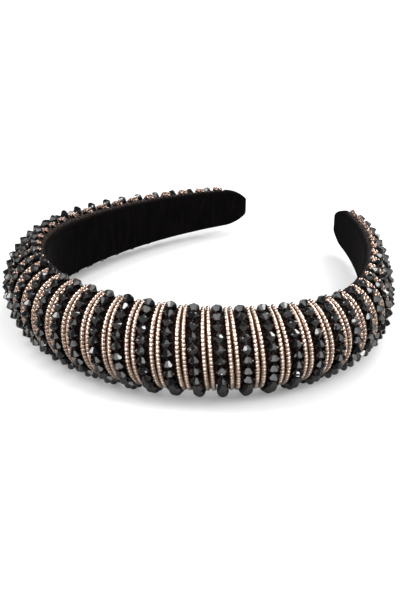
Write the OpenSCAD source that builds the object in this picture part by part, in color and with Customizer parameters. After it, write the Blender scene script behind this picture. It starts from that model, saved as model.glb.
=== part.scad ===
// Padded crystal headband, lying on its edge, in millimetres.
// X runs across from leg to leg, +Y from the crown back to the tips, +Z up from the table.
// A section plane stands square to the hoop's base curve. In it, n runs outwards from
// the hoop and v runs across the band.

/* [Hoop] */
// Radius of the base curve at the crown
crown_r = 69; // [64:0.5:76]
// Turn of the crown arc on each side of the middle
crown_turn = 45; // [40:0.5:50]
// Radius of the base curve at the shoulders
shoulder_r = 57.5; // [52:0.5:66]
// Turn of each shoulder arc
shoulder_turn = 55; // [48:0.5:58]
// Radius of the base curve along the legs
leg_r = 159; // [130:1:220]
// Length of each leg, from shoulder to tip
leg_len = 93; // [88:0.5:100]

/* [Padding] */
// Width of the band at the crown
crown_w = 28.7; // [27:0.1:32]
// Width of the band at the tips
tip_w = 16; // [14:0.5:18]
// How late the width falls away along the hoop
width_fade = 1.6; // [1.2:0.05:2]
// Height of the padding at the crown
crown_h = 13.2; // [11:0.2:15]
// Height of the padding where it ends
end_h = 0.8; // [0.7:0.1:1.5]
// How late the padding falls away along the hoop
pad_fade = 1.32; // [1.2:0.02:1.6]
// Bare fabric between the last gold band and each tip
bare_tip = 12; // [12:0.5:16]

/* [Lining] */
// Thickness of the velvet lining and the band that it covers
lining_t = 2; // [1.5:0.1:3]
// How far the velvet stays inside the band's edges at the crown
lining_inset = 1; // [0:0.1:1.5]
// Height of the covered tips over the base curve
tip_h = 1.4; // [1:0.1:2]
// Length over which each tip rounds off
tongue_len = 10.5; // [8:0.5:10.5]

/* [Crystals] */
// Distance between crystal rows along the crest
row_pitch = 9.4; // [9.3:0.05:10]
// Lean of the rows: run along the hoop for each millimetre across the band
row_lean = -0.085; // [-0.12:0.005:0.12]
// Diameter of a crystal, corner to corner
crystal_d = 4.6; // [4.2:0.05:4.7]
// Length of a crystal along its thread
crystal_l = 3.4; // [3.2:0.05:3.5]
// Diameter of the flat at each end of a crystal
table_d = 1.5; // [1.4:0.05:1.6]
// Smallest distance between crystals on a thread
crystal_pitch = 3.75; // [3.75:0.05:4.2]
// Rows on each side of the middle that are drilled stones
stone_rows = 6; // [2:1:6]
// Diameter of the drilled hole
bore_d = 1; // [0.9:0.05:1.1]
// Diameter of the thread
thread_d = 0.4; // [0.3:0.05:0.4]

/* [Gold strings] */
// Diameter of a gold string of seed beads
seed_d = 2.1; // [1.8:0.05:2.1]

/* [Hidden] */

velvet = [0.05, 0.045, 0.05];
satin = [0.08, 0.07, 0.07];
jet = [0.1, 0.1, 0.11];
thread_black = [0.15, 0.15, 0.15];
rose_gold = [0.82, 0.62, 0.46];

seat = 0.25;           // gap between a piece and what it lies on
clear = 0.1;           // gap kept between strings
radian = 180 / PI;
facets = 8;            // sides of a crystal
tube_sides = 8;        // sides of a swept string
thread_sides = 6;      // sides of a thread
hoop_sections = 44;    // stretches that the padding and the lining are swept through
dome_sides = 12;       // faces across the padding's dome
tongue_rings = 5;      // rings that round off a tip
tongue_power = 1.8;    // squareness of the tip's outline
tongue_cut = 0.88;     // share of the rounded outline that a tip keeps before its blunt end
lining_edge = 0.5;     // chamfer on the lining's edges
table_step = 2;        // spacing of the samples along the hoop
dome_step = 3;         // spacing of the samples across the dome, in degrees
ring_gap = 4.5;        // longest stretch between rings of a swept string
row_low = [8, 36];     // angle of a row's lower end, on the crown and where the padding is flat
row_high = [12, 35];   // angle of a row's upper end
band_low = [3, 18];    // angle of a gold band's lower end
band_high = [3, 9];    // angle of a gold band's upper end

crown_len = crown_r * crown_turn / radian;
shoulder_len = shoulder_r * shoulder_turn / radian;
half_len = crown_len + shoulder_len + leg_len;
pad_end = half_len - bare_tip;
crystal_lift = crystal_d / 2 + seat;
crystal_flat = crystal_d / 2 * cos(180 / facets);
string_reach = crystal_l / 4;
seed_lift = seed_d / 2 + seat;
// Distance from a row's plane to the edge of a gold band that lies lower beside it
row_side = sqrt(pow((crystal_d + seed_d) / 2 + clear, 2) - pow(crystal_lift - seed_lift, 2)) - seed_d / 2;

// Outline of a gold band across its two strings: share of the half width, share of the radius
gold_outline = [
    [0, 0.35], [-0.5, 1], [-1, 0.1], [-0.85, -0.8],
    [0.85, -0.8], [1, 0.1], [0.5, 1]
];

// Base curve

function arc_point(start, turn, r, run) =
    start + r * [sin(turn + run / r * radian) - sin(turn), cos(turn) - cos(turn + run / r * radian)];

shoulder_start = arc_point([0, 0], 0, crown_r, crown_len);
leg_start = arc_point(shoulder_start, crown_turn, shoulder_r, shoulder_len);

function base_right(run) =
    run < crown_len ? arc_point([0, 0], 0, crown_r, run)
    : run < crown_len + shoulder_len ? arc_point(shoulder_start, crown_turn, shoulder_r, run - crown_len)
    : arc_point(leg_start, crown_turn + shoulder_turn, leg_r, run - crown_len - shoulder_len);

function base(s) = let (p = base_right(abs(s))) [sign(s) * p[0], p[1]];

function turn_right(run) =
    run < crown_len ? run / crown_r * radian
    : run < crown_len + shoulder_len ? crown_turn + (run - crown_len) / shoulder_r * radian
    : crown_turn + shoulder_turn + (run - crown_len - shoulder_len) / leg_r * radian;

function turn(s) = sign(s) * turn_right(abs(s));
function along(s) = [cos(turn(s)), sin(turn(s)), 0];
function outward(s) = [sin(turn(s)), -cos(turn(s)), 0];

function place(s, nv) = let (b = base(s)) [b[0], b[1], 0] + nv[0] * outward(s) + [0, 0, nv[1]];

// Padding

function share(s) = min(1, abs(s) / half_len);
function width(s) = tip_w + (crown_w - tip_w) * (1 - pow(share(s), width_fade));
function pad_h(s) = end_h + (crown_h - end_h) * (1 + cos(180 * pow(share(s), pad_fade))) / 2;

// Point over the dome at angle phi from its lower edge, raised square to the surface
function dome(s, phi, lift) =
    let (a = width(s) / 2, b = pad_h(s), k = norm([b * cos(phi), a * sin(phi)]))
    [b * sin(phi) + lift * a * sin(phi) / k, -a * cos(phi) - lift * b * cos(phi) / k];

// Paths across the dome

function runs(points) =
    [for (i = 0, run = 0; i < len(points);
        run = run + (i < len(points) - 1 ? norm(points[i + 1] - points[i]) : 0), i = i + 1) run];

// A path is [s, first run, last run, table of run to n, table of run to v]. Its ends stand
// at angle low over the lower edge and at angle high over the upper edge.
function dome_path(s, lift, low, high) =
    let (
        points = [for (phi = [0:dome_step:180]) dome(s - row_lean * width(s) / 2 * cos(phi), phi, lift)],
        run = runs(points),
        at_angle = [for (i = [0:len(points) - 1]) [i * dome_step, run[i]]]
    )
    [s, lookup(low, at_angle), lookup(180 - high, at_angle),
        [for (i = [0:len(points) - 1]) [run[i], points[i][0]]],
        [for (i = [0:len(points) - 1]) [run[i], points[i][1]]]];

function path_len(path) = path[2] - path[1];
function path_nv(path, run) = [lookup(run, path[3]), lookup(run, path[4])];
// Rows lean, so a path's points lie a little further along the hoop towards its ends
function path_s(path, nv) = path[0] + row_lean * nv[1];
function path_point(path, run) = let (nv = path_nv(path, run)) place(path_s(path, nv), nv);
function unit(v) = v / norm(v);

// Directions along a path, across it in the surface, and up from the surface
function path_way(path, run) = unit(path_point(path, run + 0.3) - path_point(path, run - 0.3));

function path_side(path, run) =
    let (a = along(path_s(path, path_nv(path, run))), way = path_way(path, run)) unit(a - (a * way) * way);

function path_up(path, run) = cross(path_side(path, run), path_way(path, run));

// Rows along the crest

crest_samples = [for (s = [0:table_step:half_len]) s];
crest_runs = runs([for (s = crest_samples) place(s, [pad_h(s) + crystal_lift, 0])]);
crest_table = [for (i = [0:len(crest_samples) - 1]) [crest_runs[i], crest_samples[i]]];

function s_at(crest) = sign(crest) * lookup(abs(crest), crest_table);

crest_end = lookup(pad_end, [for (i = [0:len(crest_samples) - 1]) [crest_samples[i], crest_runs[i]]]);
row_count = floor((crest_end - seed_d) / row_pitch);

function row_s(row) = s_at((row + 0.5) * row_pitch);

// Rows stop over the padding's edges: nearer to them on the deep crown than on the flat legs
function end_angle(ends, s) = ends[0] + (ends[1] - ends[0]) * (1 - pad_h(s) / crown_h);

function row_path(row) =
    let (s = row_s(row)) dome_path(s, crystal_lift, end_angle(row_low, s), end_angle(row_high, s));
function band_path(band) =
    let (s = s_at(band * row_pitch)) dome_path(s, seed_lift, end_angle(band_low, s), end_angle(band_high, s));

function stone_count(path) = floor(path_len(path) / crystal_pitch) + 1;

// Room for a gold band beside the nearer row, at height n over the base
function band_room(band, n) =
    let (p = place(s_at(band * row_pitch), [n, 0]))
    min([for (side = [-0.5, 0.5]) norm(place(s_at((band + side) * row_pitch), [n, 0]) - p)]) - row_side;

// Resting place: the plane under the crown rows and the leg rows that carry the weight

function is_stones(row) = row >= -stone_rows && row < stone_rows;

// Distance back and reach below the base plane of a row's lower end
function row_foot(row) =
    let (path = row_path(row), run = path[1] - (is_stones(row) ? 0 : string_reach))
    let (p = path_point(path, run), way = path_way(path, run), flat = sqrt(1 - way[2] * way[2]))
    let (side = crystal_d / 2 * flat, tip = crystal_l / 2 * abs(way[2]) + table_d / 2 * flat)
    [p[1], (is_stones(row) ? max(side, tip) : side) - p[2]];

rows_back = [for (row = [-row_count:row_count - 1]) row_foot(row)];
row_weights = [for (row = [-row_count:row_count - 1]) width(row_s(row)) * (pad_h(row_s(row)) + crystal_d)];

function total(list) =
    [for (i = 0, t = list[0]; i < len(list);
        i = i + 1, t = t + (i < len(list) ? list[i] : 0)) t][len(list) - 1];

balance_y = total([for (i = [0:2 * row_count - 1]) row_weights[i] * rows_back[i][0]]) / total(row_weights);

supports = [
    for (front = rows_back, rear = rows_back) if (front[0] < balance_y && rear[0] > balance_y)
        let (slope = (front[1] - rear[1]) / (rear[0] - front[0]))
        [front[1] - slope * (balance_y - front[0]), slope, front]
];
best_height = max([for (pair = supports) pair[0]]);
support = [for (pair = supports) if (pair[0] == best_height) pair][0];
rest_tilt = atan(support[1]);
rest_height = (support[2][1] + support[1] * support[2][0]) * cos(rest_tilt);

front_y = place(row_s(0), [pad_h(row_s(0)) + crystal_lift + crystal_flat, 0])[1];
back_y = place(half_len, [tip_h, 0])[1];
rest_back = (front_y + back_y) / 2 * cos(rest_tilt);

module at_rest() translate([0, -rest_back, rest_height]) rotate([-rest_tilt, 0, 0]) children();

// Closed solid through rings that have the same number of points
module sweep(rings) {
    n = len(rings[0]);
    last = (len(rings) - 1) * n;
    sides = [
        for (i = [0:len(rings) - 2], k = [0:n - 1])
            let (a = i * n + k, b = i * n + (k + 1) % n)
            each [[a, b, b + n], [a, b + n, a + n]]
    ];
    polyhedron(
        [for (ring = rings) each ring],
        concat(sides, [[for (k = [n - 1:-1:0]) k]], [[for (k = [0:n - 1]) last + k]])
    );
}

// Ring of points round a path
function string_ring(path, run, d, sides) =
    [for (k = [0:sides - 1])
        path_point(path, run) + d / 2 * (cos(360 * k / sides) * path_side(path, run)
            + sin(360 * k / sides) * path_up(path, run))];

// String of crystals along a row, reaching past the centres of its first and last stones
module crystal_string(row) {
    path = row_path(row);
    length = path_len(path) + 2 * string_reach;
    rings = ceil(length / ring_gap);
    sweep([for (i = [0:rings])
        string_ring(path, path[1] - string_reach + length * i / rings, crystal_d, tube_sides)]);
}

module padded_hoop() {
    color(satin) at_rest() sweep([
        for (i = [0:hoop_sections])
            let (s = pad_end * (2 * i / hoop_sections - 1))
            [for (k = [0:dome_sides]) place(s, dome(s, 180 * k / dome_sides, 0))]
    ]);
}

function tongue(s) =
    let (t = tongue_cut * max(0, (abs(s) - half_len + tongue_len) / tongue_len))
    pow(1 - pow(t, tongue_power), 1 / tongue_power);

function lining_ring(s, top) =
    let (w = (width(s) / 2 - lining_inset * pad_h(s) / crown_h) * tongue(s))
    let (low = -seat - lining_t, e = min(lining_edge, w / 3))
    [for (nv = [[low, -w + e], [low + e, -w], [top - e / 2, -w], [top, -w + e],
        [top, w - e], [top - e / 2, w], [low + e, w], [low, w - e]]) place(s, nv)];

module velvet_lining() {
    tip_start = half_len - tongue_len;
    tip_runs = [for (i = [0:tongue_rings]) tip_start + tongue_len * sin(90 * i / tongue_rings)];
    tip = concat([[pad_end + 0.2, -seat], [pad_end + 1, tip_h]], [for (s = tip_runs) [s, tip_h]]);
    middle = [for (i = [0:hoop_sections]) [pad_end * (2 * i / hoop_sections - 1), -seat]];
    far = [for (i = [len(tip) - 1:-1:0]) [-tip[i][0], tip[i][1]]];
    color(velvet) at_rest() sweep([for (st = concat(far, middle, tip)) lining_ring(st[0], st[1])]);
}

// Faceted double cone, drilled for its thread; every facet is flat and each end has a table
module crystal() {
    end_r = table_d / 2;
    difference() {
        intersection_for(turn_k = [0:facets / 2 - 1])
            rotate([0, 0, turn_k * 360 / facets]) rotate([90, 0, 0])
                linear_extrude(height = 2 * crystal_d, center = true)
                    polygon([
                        [crystal_flat, 0], [end_r, crystal_l / 2], [-end_r, crystal_l / 2],
                        [-crystal_flat, 0], [-end_r, -crystal_l / 2], [end_r, -crystal_l / 2]
                    ]);
        cylinder(h = 2 * crystal_l, d = bore_d, center = true, $fn = 24);
    }
}

module crystal_row(row) {
    path = row_path(row);
    count = stone_count(path);
    for (i = [0:count - 1]) {
        run = path[1] + path_len(path) * i / (count - 1);
        p = path_point(path, run);
        up = path_up(path, run);
        y = path_side(path, run);
        z = path_way(path, run);
        multmatrix([
            [up[0], y[0], z[0], p[0]],
            [up[1], y[1], z[1], p[1]],
            [up[2], y[2], z[2], p[2]],
            [0, 0, 0, 1]
        ]) crystal();
    }
}

module crystal_rows_left() {
    color(jet) at_rest() for (row = [-stone_rows:-1]) crystal_row(row);
}

module crystal_rows_right() {
    color(jet) at_rest() for (row = [0:stone_rows - 1]) crystal_row(row);
}

// One thread through each drilled row, with a ring between every two stones
module crystal_threads() {
    color(thread_black) at_rest() for (row = [-stone_rows:stone_rows - 1]) {
        path = row_path(row);
        count = stone_count(path);
        gap = path_len(path) / (count - 1);
        sweep([for (i = [0:count]) string_ring(path, path[1] + gap * (i - 0.5), thread_d, thread_sides)]);
    }
}

module crystal_strings_left() {
    color(jet) at_rest() for (row = [-row_count:-stone_rows - 1]) crystal_string(row);
}

module crystal_strings_right() {
    color(jet) at_rest() for (row = [stone_rows:row_count - 1]) crystal_string(row);
}

// Two gold strings side by side, drawn together where the rows close in towards the hoop
module gold_band(band) {
    path = band_path(band);
    rings = ceil(path_len(path) / ring_gap);
    sweep([
        for (i = [0:rings])
            let (
                run = path[1] + path_len(path) * i / rings,
                half = min(seed_d, band_room(band, path_nv(path, run)[0]))
            )
            [for (q = gold_outline)
                path_point(path, run) + q[0] * half * path_side(path, run)
                    + q[1] * seed_d / 2 * path_up(path, run)]
    ]);
}

module gold_bands_left() {
    color(rose_gold) at_rest() for (band = [-row_count:-stone_rows - 1]) gold_band(band);
}

module gold_bands_middle() {
    color(rose_gold) at_rest() for (band = [-stone_rows:stone_rows]) gold_band(band);
}

module gold_bands_right() {
    color(rose_gold) at_rest() for (band = [stone_rows + 1:row_count]) gold_band(band);
}

padded_hoop();
velvet_lining();
crystal_rows_left();
crystal_rows_right();
crystal_threads();
crystal_strings_left();
crystal_strings_right();
gold_bands_left();
gold_bands_middle();
gold_bands_right();
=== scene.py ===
"""Looks of the padded crystal headband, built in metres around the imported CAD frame.

The headband lies on its edge, with its crown towards -Y and its tips towards +Y. A section plane
stands square to the hoop's base curve: in it, n runs outwards from the hoop and v across the band.
"""

import logging
import math
import random
from abc import ABC, abstractmethod
from bisect import bisect_right
from dataclasses import dataclass, field
from enum import Enum
from functools import cached_property
from typing import Iterable, Mapping, Sequence

import bmesh
import bpy
from bmesh.types import BMesh, BMVert
from bpy.types import Material, Mesh, Node, NodeSocket, NodeTree, Object
from mathutils import Matrix, Vector, noise


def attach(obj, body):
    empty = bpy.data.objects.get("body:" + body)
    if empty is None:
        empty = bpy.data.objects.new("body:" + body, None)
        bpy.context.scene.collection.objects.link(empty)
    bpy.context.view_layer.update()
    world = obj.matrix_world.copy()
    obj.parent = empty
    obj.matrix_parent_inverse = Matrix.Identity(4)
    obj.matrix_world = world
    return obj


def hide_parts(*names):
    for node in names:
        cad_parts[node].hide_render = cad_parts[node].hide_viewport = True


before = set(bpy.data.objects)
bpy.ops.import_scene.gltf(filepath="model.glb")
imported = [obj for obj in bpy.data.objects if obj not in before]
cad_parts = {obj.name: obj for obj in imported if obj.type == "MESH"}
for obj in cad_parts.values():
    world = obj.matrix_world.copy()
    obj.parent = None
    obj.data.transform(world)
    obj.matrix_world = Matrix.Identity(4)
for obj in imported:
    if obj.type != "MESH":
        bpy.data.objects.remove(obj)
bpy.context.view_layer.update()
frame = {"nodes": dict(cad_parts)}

LOG = logging.getLogger("headband")
MM = 0.001
# Lengths below this, in metres, count as none.
NEAR = 1e-6
BODY = "root"
# Vertex attributes of the beads, which their materials read.
TINT = "tint"
# How far a bead's skin faces outwards; the gold beads' material paints a highlight there and shade at the
# sides.
CREST = "crest"
Colour = tuple[float, float, float, float]
Place = tuple[float, float, float]


def between(x: float, xs: Sequence[float], ys: Sequence[float]) -> float:
    """Reads a table of points along straight lines, held at both ends.

    Args:
        x: Where to read.
        xs: Rising places of the points.
        ys: Values of the points.

    Returns:
        The value at x.
    """
    i = min(max(bisect_right(xs, x), 1), len(xs) - 1)
    share = min(1.0, max(0.0, (x - xs[i - 1]) / (xs[i] - xs[i - 1])))
    return ys[i - 1] + share * (ys[i] - ys[i - 1])


def running_lengths(points: Sequence[Vector]) -> list[float]:
    """Adds up the length along a line of points.

    Args:
        points: The line.

    Returns:
        The length up to each point.
    """
    lengths = [0.0]
    for a, b in zip(points, points[1:]):
        lengths.append(lengths[-1] + (b - a).length)
    return lengths


@dataclass(frozen=True)
class Ripple:
    """Smooth unevenness of cloth, with the lengths of its waves along and across the band."""

    depth: float
    along: float
    across: float
    seed: float

    def at(self, s: float, v: float) -> float:
        """Height at a place on the cloth, from -depth to depth."""
        return self.depth * noise.noise(Vector((s / self.along, v / self.across, self.seed)))


@dataclass(frozen=True)
class HoopForm:
    """Shape of the hoop and its padding, from the sizes of the CAD part.

    The seat is the room that the strings and the lining leave round the plain padding. The three
    rest_ fields lay the hoop's own frame on the table.
    """

    crown_r: float = 69 * MM
    crown_turn: float = math.radians(45)
    shoulder_r: float = 57.5 * MM
    shoulder_turn: float = math.radians(55)
    leg_r: float = 159 * MM
    leg_len: float = 93 * MM
    crown_w: float = 28.7 * MM
    tip_w: float = 16 * MM
    width_fade: float = 1.6
    crown_h: float = 13.2 * MM
    end_h: float = 0.8 * MM
    pad_fade: float = 1.32
    bare_tip: float = 12 * MM
    row_lean: float = -0.085
    seat: float = 0.25 * MM
    rest_tilt: float = math.radians(2.19114)
    rest_height: float = 19.0502 * MM
    rest_back: float = 67.9204 * MM

    @cached_property
    def crown_len(self) -> float:
        """Length of the base curve from the middle to a shoulder."""
        return self.crown_r * self.crown_turn

    @cached_property
    def shoulder_len(self) -> float:
        """Length of the base curve round a shoulder."""
        return self.shoulder_r * self.shoulder_turn

    @cached_property
    def half_len(self) -> float:
        """Length of the base curve from the middle to a tip."""
        return self.crown_len + self.shoulder_len + self.leg_len

    @cached_property
    def pad_end(self) -> float:
        """Where the padding ends, along the base curve."""
        return self.half_len - self.bare_tip

    @cached_property
    def at_rest(self) -> Matrix:
        """Places the hoop's own frame on the table."""
        lift = Matrix.Translation((0.0, -self.rest_back, self.rest_height))
        return lift @ Matrix.Rotation(-self.rest_tilt, 4, "X")

    def follow(self, s: float) -> tuple[Vector, float]:
        """Follows the base curve over its arcs: crown, shoulder and leg.

        Args:
            s: Signed distance from the middle.

        Returns:
            The point reached and the curve's heading there, in radians.
        """
        point, heading, left = Vector((0, 0, 0)), 0.0, abs(s)
        lengths = (self.crown_len, self.shoulder_len, math.inf)
        for radius, length in zip((self.crown_r, self.shoulder_r, self.leg_r), lengths):
            end = heading + min(left, length) / radius
            across = math.sin(end) - math.sin(heading)
            back = math.cos(heading) - math.cos(end)
            point += radius * Vector((across, back, 0))
            heading, left = end, max(0.0, left - length)
        return Vector((math.copysign(point.x, s), point.y, 0)), math.copysign(heading, s)

    def along(self, s: float) -> Vector:
        """Direction along the hoop, in its own frame."""
        heading = self.follow(s)[1]
        return Vector((math.cos(heading), math.sin(heading), 0))

    def outward(self, s: float) -> Vector:
        """Direction out of the hoop, in its own frame."""
        heading = self.follow(s)[1]
        return Vector((math.sin(heading), -math.cos(heading), 0))

    def inside(self, s: float, n: float, v: float) -> Vector:
        """Point of a section plane, in the hoop's own frame."""
        return self.follow(s)[0] + n * self.outward(s) + Vector((0, 0, v))

    def place(self, s: float, n: float, v: float) -> Vector:
        """Point of a section plane, on the table."""
        return self.at_rest @ self.inside(s, n, v)

    def share(self, s: float) -> float:
        """How far towards the tip a section lies, from 0 to 1."""
        return min(1.0, abs(s) / self.half_len)

    def width(self, s: float) -> float:
        """Width of the band."""
        return self.tip_w + (self.crown_w - self.tip_w) * (1 - self.share(s) ** self.width_fade)

    def pad_h(self, s: float) -> float:
        """Height of the padding over the base curve."""
        fall = (1 + math.cos(math.pi * self.share(s) ** self.pad_fade)) / 2
        return self.end_h + (self.crown_h - self.end_h) * fall

    def dome(self, s: float, phi: float, lift: float) -> Vector:
        """Point over the padding's dome.

        Args:
            s: Distance along the base curve.
            phi: Angle over the dome from its lower edge, in radians.
            lift: Height over the dome, square to it.

        Returns:
            The point's n and v.
        """
        a, b = self.width(s) / 2, self.pad_h(s)
        k = math.hypot(b * math.cos(phi), a * math.sin(phi))
        n = b * math.sin(phi) + lift * a * math.sin(phi) / k
        return Vector((n, -a * math.cos(phi) - lift * b * math.cos(phi) / k))


@dataclass(frozen=True)
class StringPath:
    """Line of one string over the padding, from low on one side to low on the other."""

    form: HoopForm
    s: float
    first: float
    last: float
    runs: Sequence[float]
    ns: Sequence[float]
    vs: Sequence[float]
    slope_step: float = 0.3 * MM

    @property
    def length(self) -> float:
        """Length from the first to the last bead's centre."""
        return self.last - self.first

    def section(self, run: float) -> Vector:
        """The path's n and v at a run."""
        return Vector((between(run, self.runs, self.ns), between(run, self.runs, self.vs)))

    def spot(self, run: float) -> Vector:
        """Point at a run, in the hoop's own frame; a row leans a little along the hoop."""
        n, v = self.section(run)
        return self.form.inside(self.s + self.form.row_lean * v, n, v)

    def frame(self, run: float) -> Matrix:
        """Works out the frame of a bead: x away from the padding, y along the hoop, z along the string.

        Args:
            run: Where the bead lies.

        Returns:
            The frame, on the table.
        """
        way = (self.spot(run + self.slope_step) - self.spot(run - self.slope_step)).normalized()
        along = self.form.along(self.s + self.form.row_lean * self.section(run).y)
        side = (along - along.dot(way) * way).normalized()
        turn = Matrix((side.cross(way), side, way)).transposed().to_4x4()
        return self.form.at_rest @ Matrix.Translation(self.spot(run)) @ turn


@dataclass(frozen=True)
class RowPlan:
    """Where the crystal rows and the gold bands between them lie.

    row_low to band_high are how far a string stops short of the padding's lower and upper edge,
    as angles over the crown's dome and over flat padding.
    """

    form: HoopForm
    row_pitch: float = 9.4 * MM
    crystal_d: float = 4.6 * MM
    crystal_l: float = 3.4 * MM
    crystal_pitch: float = 3.75 * MM
    seed_d: float = 2.1 * MM
    seed_swell: float = 1.16
    clear: float = 0.1 * MM
    row_low: tuple[float, float] = (math.radians(8), math.radians(36))
    row_high: tuple[float, float] = (math.radians(12), math.radians(35))
    band_low: tuple[float, float] = (math.radians(3), math.radians(18))
    band_high: tuple[float, float] = (math.radians(3), math.radians(9))
    table_step: float = 2 * MM
    dome_step: float = math.radians(3)

    @cached_property
    def crystal_lift(self) -> float:
        """Height of a crystal's centre over the padding."""
        return self.crystal_d / 2 + self.form.seat

    @cached_property
    def seed_lift(self) -> float:
        """Height of a gold string's centre over the padding."""
        return self.seed_d / 2 + self.form.seat

    @cached_property
    def crest(self) -> tuple[list[float], list[float]]:
        """Follows the crystals' crest from the middle to a tip.

        Returns:
            A table of the length along the crest and the distance along the base curve.
        """
        count = int(self.form.half_len / self.table_step)
        samples = [i * self.table_step for i in range(count + 1)]
        points = [self.form.place(s, self.form.pad_h(s) + self.crystal_lift, 0) for s in samples]
        return running_lengths(points), samples

    def s_at(self, crest: float) -> float:
        """Distance along the base curve under a signed length along the crest."""
        return math.copysign(between(abs(crest), *self.crest), crest)

    def crest_at(self, s: float) -> float:
        """Signed length along the crest over a distance along the base curve."""
        lengths, samples = self.crest
        return math.copysign(between(abs(s), samples, lengths), s)

    @cached_property
    def row_count(self) -> int:
        """Number of crystal rows on each side of the middle."""
        return math.floor((self.crest_at(self.form.pad_end) - self.seed_d) / self.row_pitch)

    def path(
        self, s: float, lift: float, low: tuple[float, float], high: tuple[float, float]
    ) -> StringPath:
        """Lays a string over the dome.

        Args:
            s: Distance along the base curve.
            lift: Height of the string's centre over the padding.
            low: How far it stops short of the padding's lower edge, as this class gives it.
            high: How far it stops short of the upper edge.

        Returns:
            The path, with the tables that its points are read from.
        """
        flatness = 1 - self.form.pad_h(s) / self.form.crown_h
        start, stop = (ends[0] + (ends[1] - ends[0]) * flatness for ends in (low, high))
        angles = [i * self.dome_step for i in range(round(math.pi / self.dome_step) + 1)]
        lean = self.form.row_lean * self.form.width(s) / 2
        points = [self.form.dome(s - lean * math.cos(a), a, lift) for a in angles]
        runs = running_lengths(points)
        first, last = (between(a, angles, runs) for a in (start, math.pi - stop))
        return StringPath(self.form, s, first, last, runs, [p.x for p in points], [p.y for p in points])

    def row(self, row: int) -> StringPath:
        """Path of a crystal row, numbered from -row_count."""
        s = self.s_at((row + 0.5) * self.row_pitch)
        return self.path(s, self.crystal_lift, self.row_low, self.row_high)

    def band(self, band: int) -> StringPath:
        """Path of a gold band, numbered from the one at the middle."""
        s = self.s_at(band * self.row_pitch)
        return self.path(s, self.seed_lift, self.band_low, self.band_high)

    def band_half(self, band: int, n: float) -> float:
        """Works out half the width that the rows on both sides leave to a gold band.

        Args:
            band: The band's number.
            n: Height over the base curve.

        Returns:
            The half width, at most that of two strings of the largest beads.
        """
        reach = (self.crystal_d + self.seed_d) / 2 + self.clear
        row_side = math.sqrt(reach**2 - (self.crystal_lift - self.seed_lift) ** 2) - self.seed_d / 2
        middle = self.form.place(self.s_at(band * self.row_pitch), n, 0)
        rows = [self.form.place(self.s_at((band + side) * self.row_pitch), n, 0) for side in (-0.5, 0.5)]
        return min(self.seed_d * self.seed_swell, min((p - middle).length for p in rows) - row_side)

    def stone_count(self, path: StringPath) -> int:
        """Number of crystals on a row's path."""
        return math.floor(path.length / self.crystal_pitch) + 1


class Shader:
    """Lays out the nodes of one material, node group or world.

    Inputs are given by name, with _ for a space, as values or as other nodes' outputs.
    """

    def __init__(self, tree: NodeTree) -> None:
        """Starts on an empty tree."""
        tree.nodes.clear()
        self.tree = tree

    def add(self, kind: str, **settings: object) -> Node:
        """Adds a node.

        Args:
            kind: The node's type name.
            **settings: Its properties.

        Returns:
            The node.
        """
        node = self.tree.nodes.new(kind)
        for name, value in settings.items():
            setattr(node, name, value)
        return node

    def plug(self, socket: NodeSocket, value: object) -> None:
        """Gives an input a value or another node's output.

        Args:
            socket: The input.
            value: The value, or the output to link.
        """
        if isinstance(value, NodeSocket):
            self.tree.links.new(value, socket)
        else:
            socket.default_value = value

    def feed(self, node: Node, **inputs: object) -> Mapping[str, NodeSocket]:
        """Fills a node's inputs.

        Args:
            node: The node.
            **inputs: What its inputs get.

        Returns:
            The node's outputs.
        """
        for name, value in inputs.items():
            self.plug(node.inputs[name.replace("_", " ")], value)
        return node.outputs

    def coordinates(self, kind: str, scale: Place = (1, 1, 1)) -> NodeSocket:
        """Object or UV coordinates, scaled by a Mapping node."""
        source = self.add("ShaderNodeTexCoord").outputs[kind]
        return self.feed(self.add("ShaderNodeMapping"), Vector=source, Scale=scale)[0]

    def group(self, tree: NodeTree, **inputs: object) -> Mapping[str, NodeSocket]:
        """Outputs of a node group."""
        return self.feed(self.add("ShaderNodeGroup", node_tree=tree), **inputs)

    def noise(self, **inputs: object) -> NodeSocket:
        """Value of a noise texture."""
        return self.feed(self.add("ShaderNodeTexNoise"), **inputs)[0]

    def remap(self, shape: str = "LINEAR", **inputs: object) -> NodeSocket:
        """Value moved from one range to another."""
        return self.feed(self.add("ShaderNodeMapRange", interpolation_type=shape), **inputs)[0]

    def bump(self, **inputs: object) -> NodeSocket:
        """Normal bent by a height."""
        return self.feed(self.add("ShaderNodeBump"), **inputs)[0]

    def reckon(self, operation: str, *values: object) -> NodeSocket:
        """Adds a Math node.

        Args:
            operation: What it does.
            *values: Its inputs.

        Returns:
            The result.
        """
        node = self.add("ShaderNodeMath", operation=operation)
        for socket, value in zip(node.inputs, values):
            self.plug(socket, value)
        return node.outputs[0]

    def mix(self, factor: object, first: object, second: object, blend: str = "MIX") -> NodeSocket:
        """Blends two colours.

        Args:
            factor: Share of the second colour.
            first: The first colour.
            second: The second colour.
            blend: The way of blending.

        Returns:
            The blended colour.
        """
        node = self.add("ShaderNodeMix", data_type="RGBA", blend_type=blend)
        for index, value in ((0, factor), (6, first), (7, second)):
            self.plug(node.inputs[index], value)
        return node.outputs[2]

    def surface(self, **inputs: object) -> None:
        """Ends a material in a Principled BSDF with these inputs."""
        skin = self.feed(self.add("ShaderNodeBsdfPrincipled"), **inputs)[0]
        self.feed(self.add("ShaderNodeOutputMaterial"), Surface=skin)


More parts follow.
